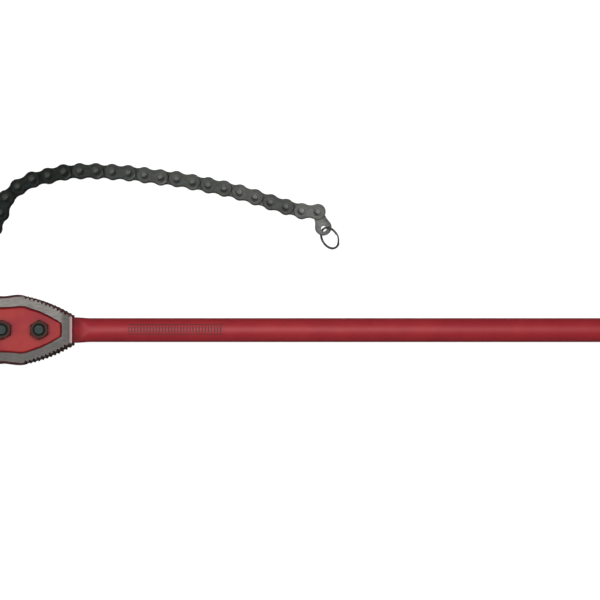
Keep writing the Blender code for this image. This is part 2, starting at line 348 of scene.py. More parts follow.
def jaw_quadrant():
    """The outline's first quadrant, from the middle of the waist to the middle of the end."""
    points = []
    steps, shoulder_steps = 12, 6
    rise_by = SHOULDER_HALF_HEIGHT - WAIST_HALF_HEIGHT
    for i in range(steps + 1):
        x = SHOULDER_X * i / steps
        y = WAIST_HALF_HEIGHT + rise_by * (1 - math.cos(math.pi * i / steps)) / 2
        slope = rise_by * math.pi / 2 / SHOULDER_X * math.sin(math.pi * i / steps)
        points.append(edge_point((x, y), (-slope, 1), waist=1.0))
    chord = TEETH_END - TEETH_START
    half_angle = math.asin(chord.length / 2 / TEETH_ARC_RADIUS)
    out = Vector((-chord.y, chord.x)).normalized()
    centre = (TEETH_START + TEETH_END) / 2 - out * TEETH_ARC_RADIUS * math.cos(half_angle)
    middle = math.atan2(out.y, out.x)
    first = middle + half_angle
    for i in range(1, shoulder_steps):
        t = i / shoulder_steps
        x = SHOULDER_X + t * (TEETH_START.x - SHOULDER_X)
        y = SHOULDER_HALF_HEIGHT - t * t * (SHOULDER_HALF_HEIGHT - TEETH_START.y)
        lean = math.pi / 2 + t * (first - math.pi / 2)
        points.append(edge_point((x, y), ray(lean), 1 - t, t))
    for tooth in range(TEETH_PER_EDGE):
        deep = TOOTH_DEPTH if tooth < TEETH_PER_EDGE - 1 else LAST_TOOTH_DEPTH
        for share, depth in TOOTH_PROFILE:
            normal = ray(first - 2 * half_angle * (tooth + share) / TEETH_PER_EDGE)
            grown = 1 + TEETH_SPREAD * (tooth + share) / TEETH_PER_EDGE
            spot = centre + TEETH_ARC_RADIUS * normal
            points.append(edge_point(spot, normal, teeth=grown, depth=depth * deep))
    last = middle - half_angle
    corner = edge_point(TEETH_END, ray(last), teeth=1 + TEETH_SPREAD)
    corner["sides"].append((Vector((1.0, 0.0)), 0.0, 0.0, 1.0))
    points.append(corner)
    for y in JAW_END_STEPS:
        points.append(edge_point((TEETH_END.x, y), (1, 0), end=1.0))
    return points


def inset(point, waist, teeth, end, toothed):
    """Where a point of the outline comes to when each kind of edge moves in by its own amount."""
    amounts = [(normal, w * waist + t * teeth + e * end) for normal, w, t, e in point["sides"]]
    normal, amount = amounts[0]
    spot = point["at"] - normal * point["depth"] * toothed
    if len(amounts) == 1:
        return spot - normal * amount
    other, other_amount = amounts[1]
    cross = normal.x * other.y - normal.y * other.x
    back_x = (amount * other.y - other_amount * normal.y) / cross
    back_y = (other_amount * normal.x - amount * other.x) / cross
    return spot - Vector((back_x, back_y))


def all_round(quadrant):
    """A closed ring from its first quadrant, which runs from the Y axis to the X axis."""
    right = quadrant + [(x, -y) for x, y in reversed(quadrant[:-1])]
    left = [(-x, y) for x, y in reversed(right[1:-1])]
    return right + left


def recess_quadrant(shares):
    """Points of the recess's edge at the given shares of its length."""
    corners = [Vector(c) for c in RECESS_CORNERS]
    spans = [(b - a).length for a, b in zip(corners, corners[1:])]
    total = sum(spans)
    points = []
    for share in shares:
        left = share * total
        i = 0
        while i < len(spans) - 1 and left > spans[i]:
            left -= spans[i]
            i += 1
        points.append(corners[i].lerp(corners[i + 1], min(1.0, left / spans[i])))
    return points


# level, how far the waist, the teeth and the end have moved in from the outline, and how much
# of the teeth's depth is left
JAW_EDGE = (
    (0.0, 4.0, 3.3, 5.4, 0.0), (0.0, 0.7, 0.6, 0.7, 1.0), (0.0, 0.6, 0.5, 0.6, 1.0),
    (0.25, 0.2, 0.15, 0.2, 1.0), (0.7, 0.0, 0.0, 0.0, 1.0), (3.0, 0.0, 0.0, 0.0, 1.0),
    (3.6, 0.15, 0.0, 0.0, 1.0), (7.4, 1.5, 0.0, 0.0, 1.0), (8.4, 1.75, 0.0, 0.0, 1.0),
    (8.7, 1.8, 0.12, 0.25, 1.0), (8.76, 1.81, 0.16, 0.42, 1.0), (9.69, 2.08, 0.96, 3.03, 1.0),
    (9.75, 2.1, 1.0, 3.2, 1.0), (9.93, 2.35, 1.12, 3.5, 1.0), (10.0, 2.6, 1.2, 3.7, 1.0),
    (10.0, 2.72, 1.32, 3.82, 1.0), (10.0, 3.4, 3.3, 5.4, 0.0),
)
# level, share of the way down the recess's wall, and how far in from it, in millimetres
RECESS_EDGE = (
    (10.0, 0.0, -0.62), (10.0, 0.0, -0.5), (9.93, 0.0, -0.2), (9.7, 0.0, 0.0), (7.7, 0.8, 0.0),
    (7.3, 0.93, 0.15), (7.07, 1.0, 0.5), (7.0, 1.0, 1.1), (7.0, 1.0, 1.25),
)


def jaw_shape():
    """A jaw on its inner face, with the recess in its upper side."""
    outline = jaw_quadrant()
    rings = []
    corner = next(p for p in outline if len(p["sides"]) == 2)
    turn = outline.index(corner)
    for level, *insets in JAW_EDGE:
        # points that the neighbouring edge cuts off all come to the corner
        cut_off = inset(corner, *insets)
        spots = [inset(p, *insets) for p in outline]
        for i, spot in enumerate(spots):
            if (i < turn and spot.x > cut_off.x) or (i > turn and spot.y > cut_off.y):
                spots[i] = cut_off
        rings.append([(x, y, level) for x, y in all_round(spots)])
    lengths = [0.0]
    for a, b in zip(outline, outline[1:]):
        lengths.append(lengths[-1] + (b["at"] - a["at"]).length)
    edge = recess_quadrant([length / lengths[-1] for length in lengths])
    for level, share, inward in RECESS_EDGE:
        scale_x = 1 + share * (RECESS_DRAFT[0] - 1)
        scale_y = 1 + share * (RECESS_DRAFT[1] - 1)
        quadrant = []
        for p in edge:
            down = Vector((p.x * scale_x, p.y * scale_y))
            quadrant.append(down * (1 - inward / down.length))
        rings.append([(x, y, level) for x, y in all_round(quadrant)])
    return loft(rings)


def jaw_zone(p):
    """Masks of a jaw: ground steel, teeth, and the painted highlight on the bevel at its ends
    (below 0, a wall in painted shade).
    """
    x, y = abs(p.x), abs(p.y)
    rim = p.z > RIM_LEVEL
    line = TEETH_START.y + (x - TEETH_START.x) * TEETH_SLOPE
    toothed = 1.0 if x > TEETH_START.x - 2 and y > line - TEETH_BAND and not rim else 0.0
    if p.z > BEVEL_LEVEL and y < BEVEL_HALF_HEIGHT and x > BEVEL_FROM:
        return (1.0, toothed, clamp((x - BEVEL_HIGHLIGHT_FROM) / BEVEL_HIGHLIGHT_OVER))
    wall = 1.0 if 0.1 < p.z < RIM_LEVEL else 0.0
    if x < BEVEL_FROM and y < min(WEB_HALF_HEIGHT, line - TEETH_BAND - 0.5):
        # in the recess only its wall counts, not the web at its foot
        down = (JAW_THICKNESS - p.z) / RECESS_DEPTH
        wall = min(wall, max(0.0, (1.0 - down) * 2.2))
    return (1.0 if rim else 0.0, toothed, -wall)


# Handle


def rounded_section(x, half_height, half_thickness, corner):
    """A rounded rectangle across X, centred on the handle's axis."""
    points = []
    arc = 14
    for quarter in range(4):
        side_y = 1 if quarter in (0, 3) else -1
        side_z = 1 if quarter in (0, 1) else -1
        for i in range(arc):
            angle = math.radians(90 * quarter + 90 * (i + 0.5) / arc)
            y = side_y * (half_height - corner) + corner * math.cos(angle)
            z = side_z * (half_thickness - corner) + corner * math.sin(angle)
            points.append((x, y, z))
    return points


def handle_zone(p):
    """Mask of the painted shade and the grease on the bar where it leaves the jaws."""
    return (smooth((SHADE_AND_GREASE_END - p.x) / SHADE_AND_GREASE_FADES_OVER), 0.0, 0.0)


def handle_shape():
    """The bar and its tang, with the tang's round end behind the centre bolt."""
    sections = []
    for angle in TANG_END_ANGLES:
        back = math.radians(angle)
        x, half_height = -TANG_HALF_HEIGHT * math.sin(back), TANG_HALF_HEIGHT * math.cos(back)
        corner = min(TANG_CORNER, half_height * 0.8)
        sections.append(rounded_section(x, half_height, TANG_HALF_THICKNESS, corner))
    start, end = TANG_BLEND
    steps = 14
    for i in range(steps + 1):
        blend = (1 - math.cos(math.pi * i / steps)) / 2
        half_height = TANG_HALF_HEIGHT + blend * (HANDLE_RADIUS - TANG_HALF_HEIGHT)
        thickness = TANG_HALF_THICKNESS + blend * (HANDLE_RADIUS - TANG_HALF_THICKNESS)
        corner = TANG_CORNER + blend * (HANDLE_RADIUS - TANG_CORNER)
        x = start + (end - start) * i / steps
        sections.append(rounded_section(x, half_height, thickness, corner))
    for back, inward in HANDLE_END_PROFILE:
        radius = HANDLE_RADIUS - inward
        sections.append(rounded_section(HANDLE_END - back, radius, radius, radius))
    return loft(sections)


# Bolts


def hex_body(height, both_ends):
    """A hexagon whose corners are cut back by a cone at its low end, or at both ends."""
    inner, corner = HEX_ACROSS_FLATS / 2 * 0.95, HEX_ACROSS_FLATS / math.sqrt(3)
    outer = corner + 0.2
    drop = (outer - inner) * math.tan(math.radians(30))
    steps = [(inner, 0.0), (outer, drop)]
    steps += [(outer, height - drop), (inner, height)] if both_ends else [(outer, height)]
    blank = lathe(((corner, -0.5), (corner, height + 0.5)), 6, turn=30)
    return combined(mesh_of(blank), ("INTERSECT", mesh_of(lathe(steps, 96))))


def nut_mesh():
    """A nut with a countersink at each end of its bore."""
    lead, bore, top = BOLT_RADIUS + 0.3, BOLT_RADIUS + 0.08, NUT_HEIGHT
    steps = ((BOLT_RADIUS + 1.4, -0.5), (lead, 0.6), (bore, 0.62), (bore, top - 0.72),
             (lead, top - 0.7), (BOLT_RADIUS + 1.35, top + 0.4))
    body = hex_body(NUT_HEIGHT, both_ends=True)
    return soften(combined(body, ("DIFFERENCE", mesh_of(lathe(steps, 64)))), 25, 0.12)


def thread_shape(low, high):
    """The bolt's threaded end, with a chamfered tip and a shallow dimple in its face."""
    sides, per_pitch = 40, 8
    rings = []
    count = int((high - low) / THREAD_PITCH * per_pitch)
    for step in range(count + 1):
        z = low + (high - low) * step / count
        limit = BOLT_RADIUS - max(0.0, z - (high - 0.95))
        ring = []
        for x, y in circle(1.0, sides):
            turn = math.atan2(y, x) / math.tau
            phase = (z / THREAD_PITCH - turn) % 1.0
            radius = min(limit, BOLT_RADIUS - THREAD_DEPTH * (1 - abs(2 * phase - 1)))
            ring.append((x * radius, y * radius, z))
        rings.append(ring)
    for radius, below in ((3.8, 0.0), (2.2, 0.0), (1.0, 0.1), (0.35, 0.16)):
        rings.append([(x, y, high - below) for x, y in circle(radius, sides)])
    return loft(rings)


def bolt_mesh():
    """A bolt whose shank is plain up to a little below the nut's top."""
    head = soften(hex_body(BOLT_HEAD_HEIGHT, both_ends=False), 25, 0.15)
    plain = lathe(((BOLT_RADIUS, BOLT_HEAD_HEIGHT - 0.5), (BOLT_RADIUS, THREAD_START)), 40)
    shank = mesh_of(together(plain, thread_shape(THREAD_START, BOLT_END)))
    return joined(head, soften(shank, 30))


def bolt_zone(p):
    """Masks of a bolt: its bare end face and its thread."""
    flat = p.z > BOLT_END - 0.3 and p.xy.length < BOLT_RADIUS - 0.5
    return (1.0 if flat else 0.0, 1.0 if p.z > THREAD_START else 0.0, 0.0)


def spacer_mesh():
    """The tube between the jaws, chamfered at both ends."""
    half, bore, chamfer = JAW_GAP / 2 - GAP, BOLT_RADIUS + 0.3, 0.4
    low = ((bore, chamfer - half), (bore + chamfer, -half), (SPACER_RADIUS - chamfer, -half),
           (SPACER_RADIUS, chamfer - half))
    steps = low + tuple((radius, -z) for radius, z in reversed(low))
    return soften(mesh_of(lathe(steps, 48, around=True)), 30)


# Chain


def mirrored(points):
    """Points and their directions, mirrored in the X axis and in reverse order."""
    return [(Vector((p.x, -p.y)), Vector((o.x, -o.y))) for p, o in reversed(points)]


def plate_outline():
    """A chain plate from its face, as points with their outward directions.

    It has two round ends, and a hollow on each side between them.
    """
    half = PITCH / 2
    hollow = (half**2 + PLATE_WAIST**2 - PLATE_RADIUS**2) / (2 * (PLATE_RADIUS - PLATE_WAIST))
    centre_y = hollow + PLATE_WAIST
    meet = math.atan2(centre_y, half)
    lobe, dip = 18, 8
    upper = []
    for i in range(dip):
        lean = (math.pi / 2 - meet) * i / dip
        out = Vector((math.sin(lean), math.cos(lean)))
        upper.append((Vector((half, centre_y)) - hollow * out, out))
    for i in range(lobe + 1):
        out = ray(meet + (math.pi - meet) * i / lobe)
        upper.append((out * PLATE_RADIUS, out))
    left = upper + mirrored(upper[1:-1])
    bottom = (Vector((half, -PLATE_WAIST)), Vector((0.0, -1.0)))
    right = [(Vector((PITCH - p.x, p.y)), Vector((-o.x, o.y))) for p, o in reversed(left[1:])]
    return left + [bottom] + right


def plate_shape(low, high):
    """A stamped plate between two levels, with its edges rounded on the outer side."""
    outline = plate_outline()
    fine, wide = 0.15, 0.4
    rings = []
    for level, inward in (
        (low, fine), (low + fine, 0.0), (high - wide * 0.8, 0.0),
        (high - wide * 0.35, wide * 0.28), (high - wide * 0.06, wide * 0.8), (high, wide * 1.2),
    ):
        rings.append([(*(p - o * inward), level) for p, o in outline])
    return loft(rings)


def upside_down(shape):
    """A shape mirrored in the link's middle plane."""
    points, faces = shape
    return [Vector((p.x, p.y, -p.z)) for p in points], faces


def outer_link_mesh():
    """Two outer plates on two pins, whose ends are peened into domed heads."""
    plate = plate_shape(*OUTER_PLATE)
    low, high = OUTER_PLATE
    top, r = PIN_HALF_LENGTH, RIVET_RADIUS
    head = (
        (PIN_RADIUS, low - 0.1), (r - 0.1, low + 0.4), (r - 0.1, high - 0.1), (r, high + 0.25),
        (r, top - 0.95), (r - 0.12, top - 0.55), (r - 0.45, top - 0.2), (r - 0.95, top - 0.04),
        (1.35, top), (0.8, top - 0.12), (0.3, top - 0.2),
    )
    steps = [(radius, -z) for radius, z in reversed(head)] + list(head)
    pins = [lathe(steps, PIN_SIDES, x) for x in (0.0, PITCH)]
    return soften(mesh_of(together(plate, upside_down(plate), *pins)), 40)


def inner_link_mesh():
    """Two inner plates on two bushes, bored for the pins."""
    low, high = INNER_PLATE
    ends = (0.0, PITCH)
    drill = ((BUSH_BORE, low - 1), (BUSH_BORE, high + 1))
    bores = [("DIFFERENCE", mesh_of(lathe(drill, PIN_SIDES, x))) for x in ends]
    plate = combined(mesh_of(plate_shape(low, high)), *bores)
    other = plate.copy()
    other.transform(Matrix.Rotation(math.pi, 4, "X"))
    bore, reach = BUSH_BORE + 0.1, low + 0.3
    steps = ((bore, -reach), (BUSH_RADIUS, -reach), (BUSH_RADIUS, reach), (bore, reach))
    bushes = [lathe(steps, PIN_SIDES, x, around=True) for x in ends]
    return soften(joined(plate, other, mesh_of(together(*bushes))), 40)


def shackle_mesh():
    """A forged link: a thick eye for the spacer tube and a thin one for the first pin."""
    thin, tip = INNER_PLATE[1], SHACKLE_LENGTH
    stations = [-SHACKLE_EYE * math.cos(math.radians(a)) for a in (4, 14, 26, 40, 55, 70, 85)]
    stations += [2.0 + 1.5 * i for i in range(32)]
    stations += [tip + PLATE_RADIUS * math.sin(math.radians(a))
                 for a in (-40, -15, 10, 32, 50, 66, 78, 86)]
    fillet_start, fillet_end = SHACKLE_FILLET
    taper_start, taper_end = SHACKLE_TAPER
    sections = []
    for x in stations:
        eye = math.sqrt(max(0.0, SHACKLE_EYE**2 - x * x))
        end = math.sqrt(max(0.0, PLATE_RADIUS**2 - (x - tip) ** 2))
        bar = SHACKLE_HALF_WIDTH if 0 < x < tip else 0.0
        fillet = 0.0
        if fillet_start < x < fillet_end:
            fillet = SHACKLE_EYE * math.exp(-(((x - fillet_start) / 9.0) ** 2))
            fillet = min(fillet, SHACKLE_EYE - 0.4)
        half_width = max(eye, end, bar, fillet)
        ease = smooth((x - taper_start) / (taper_end - taper_start))
        half_thickness = SHACKLE_HALF_THICKNESS + ease * (thin - SHACKLE_HALF_THICKNESS)
        corner = min(2.2, half_width * 0.7)
        sections.append(rounded_section(x, half_width, half_thickness, corner))
    bores = []
    for x, bore, half in ((0.0, SHACKLE_BORE, SHACKLE_HALF_THICKNESS), (tip, BUSH_BORE, thin)):
        steps = ((bore + 1.5, -half - 0.7), (bore, -half + 0.8), (bore, half - 0.8),
                 (bore + 1.5, half + 0.7))
        bores.append(("DIFFERENCE", mesh_of(lathe(steps, 48, x))))
    return soften(combined(mesh_of(loft(sections)), *bores), 30)


def tab_outline():
    """The tab from its face, clockwise, as points with their outward directions."""
    upper = []

    def arc(centre, radius, first, step, count):
        for i in range(count):
            out = ray(math.radians(first - step * i))
            upper.append((Vector((centre, 0.0)) + radius * out, out))

    arc(TAB_HUB_AT, TAB_HUB_RADIUS, 180, 7.5, 13)
    for i in range(1, 10):
        t = i / 10
        y = TAB_NECK + 0.9 * (1 - t) ** 3 + 4.5 * max(0.0, t - 0.35) ** 2
        upper.append((Vector((TAB_HUB_AT + 11.6 * t, y)), Vector((0.0, 1.0))))
    arc(TAB_END_AT, TAB_END_RADIUS, 112, 5.6, 21)
    return upper + mirrored(upper[1:-1])


def tab_mesh():
    """A flat plate with a hub for the last pin and a hole for the ring."""
    outline = tab_outline()
    half, hole, edge = TAB_HALF_THICKNESS, TAB_HOLE_RADIUS, TAB_CHAMFER
    middle = Vector((TAB_HOLE_AT, 0.0))
    rings = []
    for level, inward in ((-half, 0.45), (0.35 - half, 0.0), (half - 0.35, 0.0), (half, 0.45)):
        rings.append([(*(p - o * inward), level) for p, o in outline])
    for level, radius in ((half, hole + edge), (half - edge, hole), (edge - half, hole),
                          (-half, hole + edge)):
        rings.append([(*(middle + (p - middle).normalized() * radius), level)
                      for p, _ in outline])
    # the hole for the hub ends inside the hub's wall
    drill = BUSH_RADIUS - 0.5
    hub_hole = mesh_of(lathe(((drill, -half - 1), (drill, half + 1)), 32))
    plate = combined(mesh_of(loft(rings, around=True)), ("DIFFERENCE", hub_hole))
    wide, outer = INNER_PLATE[1], BUSH_RADIUS + 0.6
    steps = ((BUSH_BORE, -wide), (BUSH_RADIUS, -wide), (outer, 0.5 - wide), (outer, wide - 0.5),
             (BUSH_RADIUS, wide), (BUSH_BORE, wide))
    return soften(joined(plate, mesh_of(lathe(steps, 32, around=True))), 40)


def ring_mesh():
    """A split ring of two coils, through the local origin, with its centre along X."""

    def squarish(value):
        return math.copysign(abs(value) ** 0.6, value)

    tall = RING_WIRE / 2
    section = [(RING_HALF_WIDTH * squarish(x), tall * squarish(y))
               for x, y in circle(1.0, 12, turn=15)]
    steps = 144
    rings = []
    for i in range(steps + 1):
        angle = RING_CUT + (720 - 2 * RING_CUT) * i / steps
        rise = min(1.0, max(-1.0, (angle - 360) / RING_JOG))
        rise = rise * (3 - rise * rise) / 2
        turn = math.radians(angle + 120)
        out = Vector((-math.cos(turn), math.sin(turn)))
        taper = 1.0 if 0 < i < steps else 0.75
        ring = []
        for across, up in section:
            spot = Vector((RING_RADIUS, 0.0)) + out * (RING_RADIUS + across * taper)
            ring.append((*spot, tall * rise + up * taper))
        rings.append(ring)
    return soften(mesh_of(loft(rings)), 50)


def chain_places():
    """The start of each link, then of the tab, then the tab's hole, as (x, y) in millimetres."""
    runs = [(SHACKLE_LENGTH, SHACKLE_HEADING)]
    runs += [(PITCH, heading) for heading in LINK_HEADINGS]
    runs += [(TAB_HOLE_AT, TAB_HEADING)]
    x, y = -BOLT_SPACING, 0.0
    places = []
    for length, heading in runs:
        x += length * math.cos(math.radians(heading))
        y += length * math.sin(math.radians(heading))
        places.append((x, y))
    return places


# Materials


class Shade:
    """Short calls for the nodes of one material. Positions are in millimetres."""

    def __init__(self, name):
        self.material = bpy.data.materials.new(name)
        self.material.use_nodes = True
        self.tree = self.material.node_tree
        self.shader = self.tree.nodes["Principled BSDF"]
        self.place = self.read("mm")
        self.zones = self.split(self.read("zone"))

    def node(self, kind, settings=(), numbered=(), **named):
        """A new node with its settings, and its inputs by number or by name."""
        made = self.tree.nodes.new("ShaderNode" + kind)
        for key, value in dict(settings).items():
            setattr(made, key, value)
        named = [(key.replace("_", " "), value) for key, value in named.items()]
        for key, value in [*numbered, *named]:
            self.feed(made.inputs[key], value)
        return made

    def feed(self, socket, value):
        """Links an output to a socket, or sets a colour or a number on it."""
        if isinstance(value, bpy.types.NodeSocket):
            self.tree.links.new(value, socket)
        elif socket.type == "RGBA" and len(value) == 3:
            socket.default_value = (*value, 1.0)
        else:
            socket.default_value = value

    def read(self, name):
        """A vector that the mesh carries."""
        return self.node("Attribute", {"attribute_name": name}).outputs["Vector"]

    def split(self, vector):
        """The X, Y and Z of a vector."""
        made = self.node("SeparateXYZ", Vector=vector)
        return [made.outputs[axis] for axis in "XYZ"]

    def noise(self, scale, detail, roughness=0.5, stretch=None):
        """Noise whose features are about 1/scale millimetres, or longer along some axes."""
        place = self.place
        if stretch:
            pair = enumerate((place, stretch))
            place = self.node("VectorMath", {"operation": "MULTIPLY"}, pair).outputs[0]
        made = self.node("TexNoise", Vector=place, Scale=scale, Detail=detail, Roughness=roughness)
        return made.outputs[0]

    def patches(self, low, high, *noise, **more):
        """A mask of patches: 0 where the noise is below low, 1 where it is above high."""
        return self.ramp(self.noise(*noise, **more), low, high)

    def ramp(self, value, low, high, to_low=0.0, to_high=1.0):
        """Goes smoothly from to_low to to_high as the value goes from low to high."""
        inputs = enumerate((value, low, high, to_low, to_high))
        return self.node("MapRange", {"interpolation_type": "SMOOTHSTEP"}, inputs).outputs[0]

    def maths(self, operation, a, b=0.0):
        return self.node("Math", {"operation": operation}, enumerate((a, b))).outputs[0]

    def off(self, value, middle):
        """How far a value is from the middle one."""
        return self.maths("ABSOLUTE", self.maths("SUBTRACT", value, middle))

    def times(self, *values):
        result = values[0]
        for value in values[1:]:
            result = self.maths("MULTIPLY", result, value)
        return result

    def length(self, a, b):
        """The length of a vector with these two parts."""
        squares = self.maths("ADD", self.times(a, a), self.times(b, b))
        return self.maths("SQRT", squares)

    def mix(self, share, a, b):
        """Two colours mixed by a share."""
        inputs = ((0, share), (6, a), (7, b))
        return self.node("Mix", {"data_type": "RGBA"}, inputs).outputs[2]

    def cover(self, colour, layer, *masks):
        """A colour under a layer that shows where all the masks are 1."""
        return self.mix(self.times(*masks), colour, layer)

    def blend(self, share, a, b):
        """Two numbers mixed by a share."""
        inputs = ((0, share), (2, a), (3, b))
        return self.node("Mix", {"data_type": "FLOAT"}, inputs).outputs[0]

    def crevice_shade(self, colour, shade_colour, share, distance, low=0.35, high=0.95):
        """A colour with a share of painted shade over it in corners and beside other pieces."""
        made = self.node("AmbientOcclusion", {"samples": 6}, Distance=distance * MM)
        deep = self.ramp(made.outputs["AO"], low, high, 1.0, 0.0)
        return self.cover(colour, shade_colour, deep, share)

    def worn_edge(self, radius, low, high):
        """1 on an edge, 0 on an even surface."""
        rounded = self.node("Bevel", {"samples": 4}, Radius=radius * MM).outputs[0]
        normals = enumerate((rounded, self.node("NewGeometry").outputs["Normal"]))
        same = self.node("VectorMath", {"operation": "DOT_PRODUCT"}, normals)
        return self.ramp(same.outputs["Value"], high, low)

    def bump(self, height, strength, distance):
        return self.node(
            "Bump", Height=height, Strength=strength, Distance=distance * MM
        ).outputs[0]

    def finish(self, colour, roughness, metallic=0.0, normal=None, **constants):
        """The material, with the inputs of its shader set."""
        inputs = {"Base Color": colour, "Roughness": roughness, "Metallic": metallic, **constants}
        if normal:
            inputs["Normal"] = normal
        for key, value in inputs.items():
            self.feed(self.shader.inputs[key.replace("_", " ")], value)
        return self.material


REDS = ((0.178, 0.0045, 0.0095), (0.214, 0.0085, 0.0125))
RED_DARK = (0.085, 0.003, 0.008)
RED_WARM = (0.235, 0.017, 0.008)
RED_JAW_SHADE = (0.088, 0.003, 0.005)
RED_SHADED = (0.036, 0.006, 0.008)
PRINT = (0.052, 0.013, 0.013)
MAROONS = ((0.028, 0.006, 0.008), (0.060, 0.010, 0.014))
MAROON_SHADED = (0.009, 0.005, 0.004)
STEEL = (0.150, 0.140, 0.130)
GROUNDS = ((0.077, 0.074, 0.067), (0.114, 0.105, 0.096))
GROUND_BRUSHED = (0.148, 0.138, 0.128)
GROUND_SHADE_AND_OIL = (0.038, 0.036, 0.034)
GROUND_RUSTY = (0.070, 0.045, 0.038)
GROUND_HIGHLIGHT = (0.305, 0.222, 0.222)
OXIDES = ((0.022, 0.009, 0.007), (0.056, 0.016, 0.012))
OXIDE_WORN = (0.13, 0.09, 0.075)
OXIDE_SHADED = (0.010, 0.012, 0.010)
THREAD = (0.020, 0.028, 0.026)
BOLT_FACES = ((0.010, 0.017, 0.0155), (0.027, 0.038, 0.035))
# the chain's colours where its blacking is whole, and where it has worn off, also used as a
# painted highlight on edges
BLACKING = ((0.0014, 0.0025, 0.0024), (0.030, 0.031, 0.028))
BLACKING_SCUFFED = ((0.014, 0.017, 0.015), (0.070, 0.071, 0.066))
BLACKING_RUBBED_AND_HIGHLIGHT = ((0.031, 0.034, 0.029), (0.093, 0.094, 0.089))
BROWN_TINT = (1.25, 1.0, 0.62)
BLUE_GREEN_TINT = (0.72, 1.08, 1.12)
WORN_TINT = (1.0, 1.0, 0.96)
BLACK = (0.0, 0.0, 0.0)
CHAIN_CREVICE_SHADE = (0.004, 0.005, 0.0045)
TAB_GREYS = ((0.043, 0.044, 0.043), (0.072, 0.072, 0.070))
TAB_SCRATCH = (0.120, 0.120, 0.116)
WIRES = ((0.045, 0.047, 0.041), (0.105, 0.105, 0.094))
TURNED_GREYS = ((0.10, 0.10, 0.095), (0.19, 0.185, 0.175))


def red_layers(mat):
    """The paint's colour and roughness: even, a little mottled, with specks of dust."""
    mottle = mat.patches(0.32, 0.68, 0.045, 4.0, 0.6)
    grain = mat.patches(0.25, 0.75, 1.3, 3.0, 0.7)
    share = mat.maths("ADD", mat.times(mottle, 0.65), mat.times(grain, 0.35))
    colour = mat.mix(share, *REDS)
    dust = mat.patches(0.66, 0.76, 0.9, 5.0, 0.75)
    colour = mat.cover(colour, RED_DARK, dust, 0.35)
    return colour, mat.blend(grain, 0.52, 0.64)


def handle_paint():
    mat = Shade("handle_red_paint")
    jaw_shade_and_grease = mat.zones[0]
    colour, roughness = red_layers(mat)
    # painted shade in corners and next to the jaws
    colour = mat.crevice_shade(colour, RED_DARK, 0.75, 9.0, 0.25, 0.9)
    # painted shade where the bar leaves the jaws, less of it along the middle where the bar's
    # highlight runs; grease there also dulls the paint
    side = mat.maths("ABSOLUTE", mat.split(mat.place)[1])
    jaw_shade = mat.times(jaw_shade_and_grease, 0.85, mat.ramp(side, 1.0, 8.0, 0.45, 1.0))
    colour = mat.mix(jaw_shade, colour, RED_JAW_SHADE)
    roughness = mat.blend(jaw_shade_and_grease, roughness, 0.85)
    printed = mark_mask(mat)
    colour = mat.mix(printed, colour, PRINT)
    roughness = mat.blend(printed, roughness, 0.75)
    bare = mat.times(mat.worn_edge(1.0, 0.90, 0.985), mat.patches(0.45, 0.55, 0.8, 5.0, 0.7))
    colour = mat.mix(bare, colour, STEEL)
    peel = mat.noise(0.9, 2.0, 0.5)
    pits = mat.ramp(mat.noise(0.35, 6.0, 0.65), 0.55, 0.75, 0.0, 0.6)
    normal = mat.bump(mat.maths("ADD", peel, pits), 0.35, 0.10)
    metallic = mat.blend(bare, 0.12, 0.8)
    return mat.finish(colour, roughness, metallic, normal, Specular_IOR_Level=0.3)


def mark_mask(mat):
    """A band of even ticks between two thin rules, on the upper side of the handle."""
    x, y, z = mat.split(mat.place)
    across = mat.off(y, MARK_Y)
    ends = mat.ramp(mat.off(x, MARK_X), MARK_HALF_LENGTH, MARK_HALF_LENGTH + 0.2, 1.0, 0.0)
    inside = mat.times(ends, mat.ramp(z, 1.0, 2.0))
    ticks = mat.times(
        mat.ramp(mat.maths("PINGPONG", x, TICK_SPACING), 0.55, 0.7, 1.0, 0.0),
        mat.ramp(across, TICK_HALF_HEIGHT, TICK_HALF_HEIGHT + 0.2, 1.0, 0.0),
    )
    rules = mat.ramp(mat.off(across, RULE_AT), 0.35, 0.45, 1.0, 0.0)
    worn = mat.ramp(mat.noise(0.6, 4.0, 0.7), 0.30, 0.50, 0.6, 0.95)
    return mat.times(mat.maths("MAXIMUM", ticks, rules), inside, worn)


